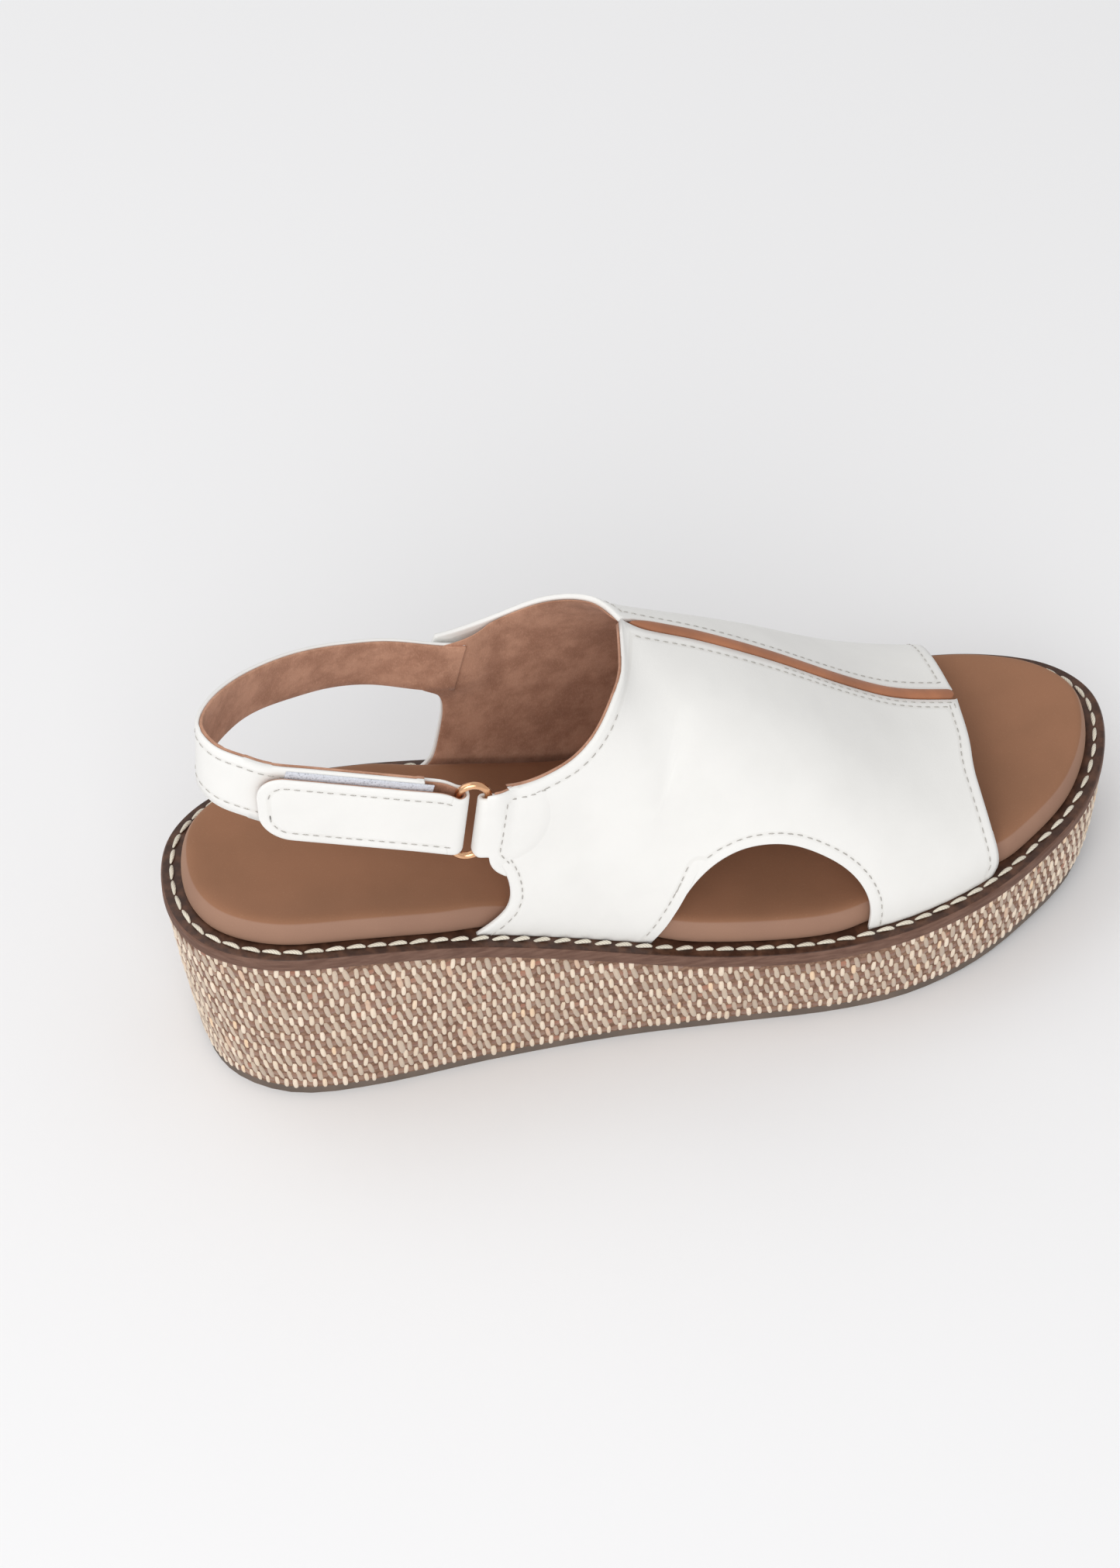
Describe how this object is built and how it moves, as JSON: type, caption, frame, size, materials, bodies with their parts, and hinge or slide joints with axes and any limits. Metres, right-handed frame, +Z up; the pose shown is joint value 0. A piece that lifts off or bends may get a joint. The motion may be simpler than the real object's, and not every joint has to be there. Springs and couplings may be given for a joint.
{
  "type": "wedge sandal",
  "caption": "Open-toe wedge sandal for the right foot, with side cut-outs, a woven-covered wedge, a stitched welt and a heel strap that closes through an oval ring.",
  "frame": {"origin": "centre of the sandal's plan box, on the ground under the outsole", "axes": "+X along the foot towards the toe, +Y towards the inner side of the foot, +Z up"},
  "size_m": [0.2636, 0.0984, 0.1193],
  "materials": {
    "outsole_rubber": "matt moulded rubber, taupe brown",
    "wedge_foam": "matt foam",
    "woven_fabric": "coarse basket weave of cream, beige and brown slub yarns",
    "shank_steel": "plain spring steel",
    "insole_board": "matt fibre board",
    "welt": "dark brown, glossy on top and matt at the side",
    "welt_thread": "cream waxed thread",
    "footbed_foam": "matt foam",
    "footbed_microfibre": "matt brown microfibre",
    "upper_leather": "smooth off-white leather, satin",
    "lining_suede": "brushed pinkish brown suede",
    "piping": "smooth tan leather, satin",
    "ring_metal": "polished rose gold",
    "strap_leather": "smooth off-white leather, satin",
    "loop_tape": "white brushed loop tape",
    "hook_tape": "white hook tape"
  },
  "bodies": {
    "sole_and_upper": {"outsole": "outsole_rubber", "wedge_core": "wedge_foam", "wedge_wrap": "woven_fabric", "shank": "shank_steel", "insole_board": "insole_board", "welt": "welt", "welt_stitching": "welt_thread", "footbed_core": "footbed_foam", "footbed_cover": "footbed_microfibre", "upper_lateral": "upper_leather", "upper_medial": "upper_leather", "lining_lateral": "lining_suede", "lining_medial": "lining_suede", "vamp_piping": "piping"},
    "strap_assembly": {"heel_strap": "strap_leather", "heel_strap_lining": "lining_suede", "loop_tape": "loop_tape", "closure_anchor": "strap_leather", "closure_anchor_lining": "lining_suede", "ring_tab": "upper_leather", "closure_fold": "strap_leather"},
    "ring": {"strap_ring": "ring_metal"},
    "flap": {"closure_flap": "strap_leather", "closure_flap_lining": "lining_suede", "hook_tape": "hook_tape"}
  },
  "joints": [
    {"name": "strap_swing", "type": "hinge", "parent": "sole_and_upper", "child": "strap_assembly", "pos_m": [-0.05018, -0.03109, 0.08755], "axis": [-0.0508, 0.9983, 0.0274], "range_deg": [-20, 20]},
    {"name": "ring_swing", "type": "hinge", "parent": "strap_assembly", "child": "ring", "pos_m": [-0.05349, -0.02916, 0.08776], "axis": [0.1111, -0.0216, 0.9936], "range_deg": [-2.5, 2.5]},
    {"name": "closure_peel", "type": "hinge", "parent": "strap_assembly", "child": "flap", "pos_m": [-0.0611, -0.02769, 0.08864], "axis": [0.1111, -0.0216, 0.9936], "range_deg": [0, 120], "deforming": ["closure_fold"]}
  ]
}
